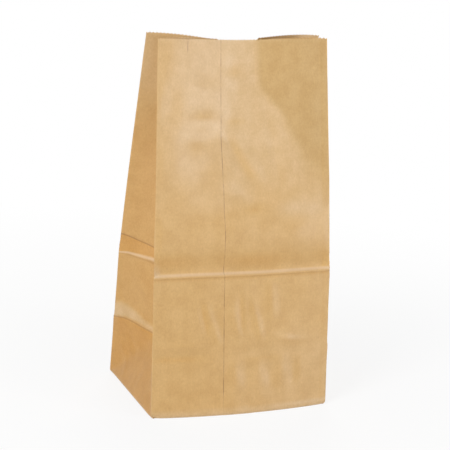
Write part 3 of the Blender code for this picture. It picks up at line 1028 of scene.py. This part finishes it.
def spread(tree, value, low, high, out_low, out_high):
    """Straight from out_low at low to out_high at high, and level beyond both."""
    made = node(tree, "ShaderNodeMapRange")
    plug(tree, value, made.inputs["Value"])
    plug(tree, low, made.inputs["From Min"])
    plug(tree, high, made.inputs["From Max"])
    plug(tree, out_low, made.inputs["To Min"])
    plug(tree, out_high, made.inputs["To Max"])
    return made.outputs["Result"]


def blend(tree, kind, share, under, over):
    """Colour over laid on colour under by a share, plainly (MIX) or as a tint (MULTIPLY)."""
    made = node(tree, "ShaderNodeMix", data_type="RGBA", blend_type=kind)
    plug(tree, share, made.inputs[0])
    plug(tree, under, made.inputs[6])
    plug(tree, over, made.inputs[7])
    return made.outputs[2]


def mark(tree, name):
    """One of the sheet's attributes."""
    return node(tree, "ShaderNodeAttribute", attribute_name=name).outputs["Fac"]


def noise(tree, uv, stretch, detail, roughness):
    """Noise over the flat paper, stretched across and up."""
    place = node(tree, "ShaderNodeMapping")
    plug(tree, stretch, place.inputs["Scale"])
    plug(tree, uv, place.inputs["Vector"])
    made = node(tree, "ShaderNodeTexNoise", noise_dimensions="2D")
    plug(tree, place.outputs["Vector"], made.inputs["Vector"])
    plug(tree, 1.0, made.inputs["Scale"])
    plug(tree, detail, made.inputs["Detail"])
    plug(tree, roughness, made.inputs["Roughness"])
    return made.outputs["Fac"]


def soft_line(tree, value, centre, half_width, strength):
    """Strength round a centre, falling straight to 0 from a quarter of the half width outwards."""
    away = maths(tree, "SUBTRACT", value, centre)
    away = maths(tree, "ABSOLUTE", away, 0.0)
    return spread(tree, away, half_width * 0.25, half_width, strength, 0.0)


def kraft_drift_and_painted_light(tree):
    """Colour of the bare sheet: deep to pale by its tone mark, mostly painted light, the inside
    brighter as painted light, and painted shade on the facet beyond the slanting valley.
    """
    drift = node(tree, "ShaderNodeValToRGB")
    stops = drift.color_ramp.elements
    stops[0].color = DEEP_KRAFT
    stops[1].color = PALE_KRAFT
    stops.new(0.5).color = MIDDLE_KRAFT
    plug(tree, spread(tree, mark(tree, "tone_and_painted_light"), -1.0, 1.0, 0.0, 1.0), drift.inputs["Fac"])
    colour = drift.outputs["Color"]
    # The inside is painted brighter and warmer, painted light where it lies in shade.
    inside = spread(tree, mark(tree, "inside"), 0.0, 1.0, 0.0, INSIDE_SHARE)
    colour = blend(tree, "MIX", inside, colour, INSIDE_LIT_KRAFT)
    # Painted shade on the facet beyond the slanting valley, as a greyer tint.
    return blend(tree, "MULTIPLY", mark(tree, "facet_shade"), colour, FACET_SHADE_TINT)


def seam_shade(tree, uv, across, upward):
    """The seam's dark line: soft, broken by a noise, and faint where it is pressed at the foot."""
    away = maths(tree, "SUBTRACT", across, SEAM_LINE_AT)
    away = maths(tree, "ABSOLUTE", away, 0.0)
    line = spread(tree, away, *SEAM_LINE_SPAN, SEAM_DARKNESS, 0.0)
    pressed = spread(tree, upward, *PRESSED_SPAN, PRESSED_SHARE, 1.0)
    broken = spread(tree, noise(tree, uv, *BREAKS), *BREAKS_SPAN, BREAKS_SHARE, 1.0)
    return maths(tree, "MULTIPLY", maths(tree, "MULTIPLY", line, pressed), broken)


def tear_shade(tree, across, upward):
    """The tear's dark line, from just under its foot to the mouth."""
    foot = PAPER_HEIGHT - TEAR_LENGTH
    line = soft_line(tree, across, TEAR_FROM_LEFT_FOLD, TEAR_LINE_HALF, TEAR_DARKNESS)
    return maths(tree, "MULTIPLY", line, spread(tree, upward, foot - TEAR_FADE, foot, 0.0, 1.0))


def kraft_paper():
    """Brown kraft paper: fibre streaks, cloudy pulp and grain, pale scuffed folds with a painted
    highlight along the base fold, a soft sheen, and painted light and shade in its colour.
    """
    material = bpy.data.materials.new("kraft_paper_and_painted_light")
    material.use_nodes = True
    tree = material.node_tree
    shader = tree.nodes["Principled BSDF"]
    uv = node(tree, "ShaderNodeUVMap", uv_map="paper").outputs["UV"]
    split = node(tree, "ShaderNodeSeparateXYZ")
    plug(tree, uv, split.inputs["Vector"])
    across = split.outputs["X"]
    upward = split.outputs["Y"]
    colour = kraft_drift_and_painted_light(tree)
    pulp = {}
    for name, look in PULP.items():
        raw = noise(tree, uv, look.stretch, look.detail, look.roughness)
        pulp[name] = spread(tree, raw, *look.used, 0.0, 1.0)
        share = spread(tree, pulp[name], 0.0, 1.0, 0.0, look.strength)
        colour = blend(tree, "MULTIPLY", share, colour, look.tint)
    # Scuffed folds and edges, and the painted highlight along the base fold.
    worn_and_lit = spread(tree, mark(tree, "wear_and_foot_highlight"), 0.0, 1.0, 0.0, RUBBED_AND_LIT_SHARE)
    colour = blend(tree, "MIX", worn_and_lit, colour, RUBBED_AND_LIT_KRAFT)
    # Painted highlight and painted shade along the creases.
    for shade in CREASE_PAINTED_LIGHT:
        height = mark(tree, shade.mark)
        line = soft_line(tree, height, shade.height, shade.half_width, shade.strength)
        colour = blend(tree, "MIX", line, colour, shade.colour)
    colour = blend(tree, "MIX", seam_shade(tree, uv, across, upward), colour, SEAM_SHADE)
    colour = blend(tree, "MIX", tear_shade(tree, across, upward), colour, TEAR_SHADE)
    plug(tree, colour, shader.inputs["Base Color"])
    roughness = spread(tree, pulp["fibre"], 0.0, 1.0, *FIBRE_ROUGHNESS)
    plug(tree, roughness, shader.inputs["Roughness"])
    grain = node(tree, "ShaderNodeBump")
    fibres = maths(tree, "MULTIPLY", pulp["fibre"], FIBRE_HEIGHT)
    plug(tree, maths(tree, "ADD", fibres, pulp["cloud"]), grain.inputs["Height"])
    plug(tree, BUMP_STRENGTH, grain.inputs["Strength"])
    plug(tree, BUMP_DISTANCE, grain.inputs["Distance"])
    plug(tree, grain.outputs["Normal"], shader.inputs["Normal"])
    return material


# Floor, light and camera

FLOOR_REACH = 4.0
FLOOR_COLOUR = (0.86, 0.86, 0.86, 1)
# The floor shows its shadow fully up to the first distance, and hardly beyond the second.
SHADOW_SPAN = (0.12, 0.60)
WHITE_SHARE = (0.86, 1.00)
# The world is a light grey, not white: low views that see past the floor's edge show it.
WORLD_COLOUR = (0.8, 0.8, 0.8, 1)
WORLD_LIGHT = 0.12

# Square area lamps: place, side and power.  All of them aim at the middle of the bag.
LAMP_AIM = (0, 0, 0.16)
LAMPS = {
    "low_right_lamp": ((1.20, -1.20, 0.24), 0.50, 11.0),
    "high_right_lamp": ((0.80, -1.00, 1.45), 0.45, 2.2),
    "high_left_lamp": ((-1.15, -0.75, 1.25), 0.55, 15.5),
    "low_left_lamp": ((-1.45, -0.75, 0.45), 0.80, 8.0),
    "overhead_lamp": ((0.10, -0.80, 1.70), 0.60, 3.0),
    "far_lamp": ((0.50, 1.40, 1.00), 0.90, 12.0),
}

# Camera, fitted to the corners and folds of the bag in the photograph.
FOCAL_PIXELS = 1686.4
FRAME_PIXELS = 450
SENSOR_WIDTH = 36.0
CAMERA_PLACE = (-0.5267004, -1.2846718, 0.5445670)
CAMERA_RIGHT = (0.9305760, -0.3603311, 0.0647282)
CAMERA_FORWARD = (0.3637790, 0.8902407, -0.2741101)
CAMERA_REACH = 20.0


def seen_directly(tree):
    """1 for camera, glossy and transmission rays, which are shown a plain unlit background."""
    path = node(tree, "ShaderNodeLightPath").outputs
    first = maths(tree, "MAXIMUM", path["Is Camera Ray"], path["Is Glossy Ray"])
    return maths(tree, "MAXIMUM", first, path["Is Transmission Ray"])


def either(tree, share, one, two):
    """Mix of two shaders by a share of the second."""
    made = node(tree, "ShaderNodeMixShader")
    plug(tree, share, made.inputs[0])
    plug(tree, one, made.inputs[1])
    plug(tree, two, made.inputs[2])
    return made.outputs[0]


def white_floor():
    """Matt white that takes the bag's shadow near it and is plain white further off."""
    material = bpy.data.materials.new("white_floor")
    material.use_nodes = True
    tree = material.node_tree
    tree.nodes.clear()
    matt = node(tree, "ShaderNodeBsdfDiffuse")
    matt.inputs["Color"].default_value = FLOOR_COLOUR
    white = node(tree, "ShaderNodeEmission")
    white.inputs["Strength"].default_value = 1.0
    away = node(tree, "ShaderNodeVectorMath", operation="LENGTH")
    plug(tree, node(tree, "ShaderNodeTexCoord").outputs["Object"], away.inputs[0])
    plain = spread(tree, away.outputs["Value"], *SHADOW_SPAN, *WHITE_SHARE)
    share = maths(tree, "MULTIPLY", seen_directly(tree), plain)
    out = node(tree, "ShaderNodeOutputMaterial")
    plug(tree, either(tree, share, matt.outputs[0], white.outputs[0]), out.inputs["Surface"])
    return material


def pale_floor():
    """Wide square floor under the bag."""
    reach = FLOOR_REACH
    square = [(-reach, -reach, 0), (reach, -reach, 0), (reach, reach, 0), (-reach, reach, 0)]
    mesh = bpy.data.meshes.new("floor")
    mesh.from_pydata(square, [], [(0, 1, 2, 3)])
    mesh.materials.append(white_floor())
    floor = bpy.data.objects.new("floor", mesh)
    bpy.context.scene.collection.objects.link(floor)


def pale_world():
    """Light grey seen past the edge of the floor, and an even soft light on the bag."""
    world = bpy.data.worlds.new("studio")
    bpy.context.scene.world = world
    world.use_nodes = True
    tree = world.node_tree
    tree.nodes.clear()
    dome = node(tree, "ShaderNodeBackground")
    dome.inputs["Color"].default_value = WORLD_COLOUR
    dome.inputs["Strength"].default_value = WORLD_LIGHT
    plain = node(tree, "ShaderNodeBackground")
    plain.inputs["Color"].default_value = WORLD_COLOUR
    plain.inputs["Strength"].default_value = 1.0
    out = node(tree, "ShaderNodeOutputWorld")
    shown = either(tree, seen_directly(tree), dome.outputs[0], plain.outputs[0])
    plug(tree, shown, out.inputs["Surface"])


def soft_lamps():
    """The square area lamps, each turned to its aim."""
    for name, (place, side, power) in LAMPS.items():
        data = bpy.data.lights.new(name, "AREA")
        data.shape = "SQUARE"
        data.size = side
        data.energy = power
        lamp = bpy.data.objects.new(name, data)
        lamp.location = place
        aim = Vector(LAMP_AIM) - Vector(place)
        lamp.rotation_euler = aim.to_track_quat("-Z", "Y").to_euler()
        bpy.context.scene.collection.objects.link(lamp)


def photo_camera():
    """Long lens from the front left and above, rolled a little as the photograph is."""
    data = bpy.data.cameras.new("camera")
    data.sensor_width = SENSOR_WIDTH
    data.lens = FOCAL_PIXELS * SENSOR_WIDTH / FRAME_PIXELS
    data.clip_end = CAMERA_REACH
    right = Vector(CAMERA_RIGHT)
    back = -Vector(CAMERA_FORWARD)
    above = back.cross(right)
    axes = Matrix((right, above, back)).transposed()
    camera = bpy.data.objects.new("camera", data)
    camera.matrix_world = Matrix.Translation(CAMERA_PLACE) @ axes.to_4x4()
    bpy.context.scene.collection.objects.link(camera)
    bpy.context.scene.camera = camera


def main():
    """Camera, light and floor, then the bag in its paper."""
    bpy.context.scene.view_settings.view_transform = "Standard"
    photo_camera()
    pale_world()
    soft_lamps()
    pale_floor()
    bag = build_sheet()
    bag.data.materials.append(kraft_paper())
    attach(bag, "root")
    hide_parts("paper_bag")


main()
